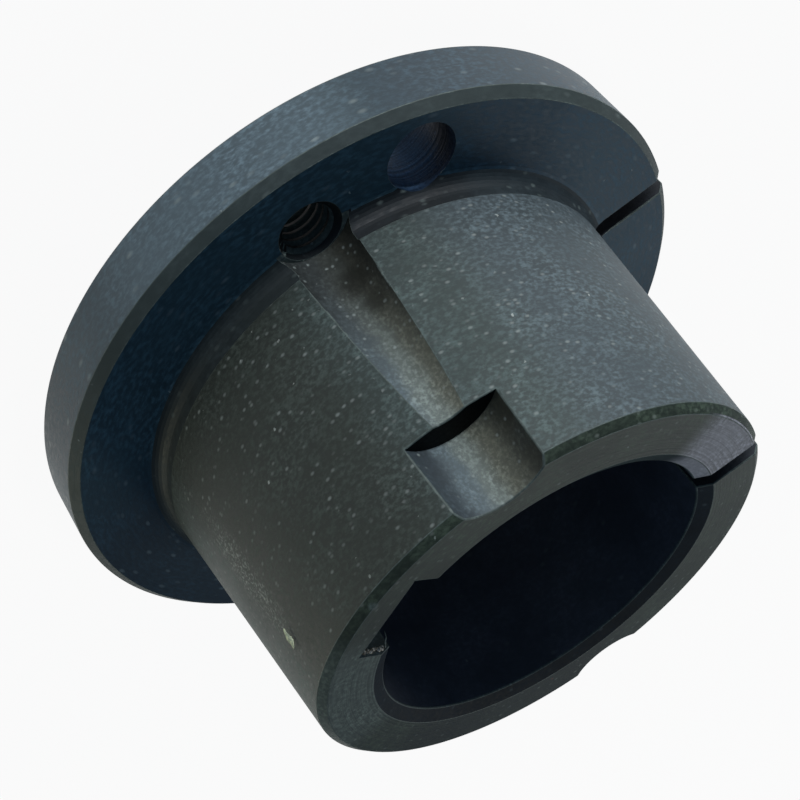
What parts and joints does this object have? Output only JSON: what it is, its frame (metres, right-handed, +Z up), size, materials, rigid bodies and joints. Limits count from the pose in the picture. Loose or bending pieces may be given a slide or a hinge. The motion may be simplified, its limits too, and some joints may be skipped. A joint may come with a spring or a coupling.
{
  "type": "taper bush",
  "caption": "Flanged split taper bush that grips a keyed shaft in a tapered hub, with clamping and jacking screw holes.",
  "frame": {"origin": "on the bush axis at the back face of the flange, which the bush stands on", "axes": "+Z up the bore from the flange to the small end; the keyway lies along -Y; the split lies 144 degrees round from +X"},
  "size_m": [0.0715, 0.0714, 0.0373],
  "materials": {
    "oxide_iron": "matt phosphate and black oxide over fine-grained iron, turned faces smoother than the barrel"
  },
  "bodies": {
    "root": {"taper_bush": "oxide_iron"}
  },
  "joints": []
}
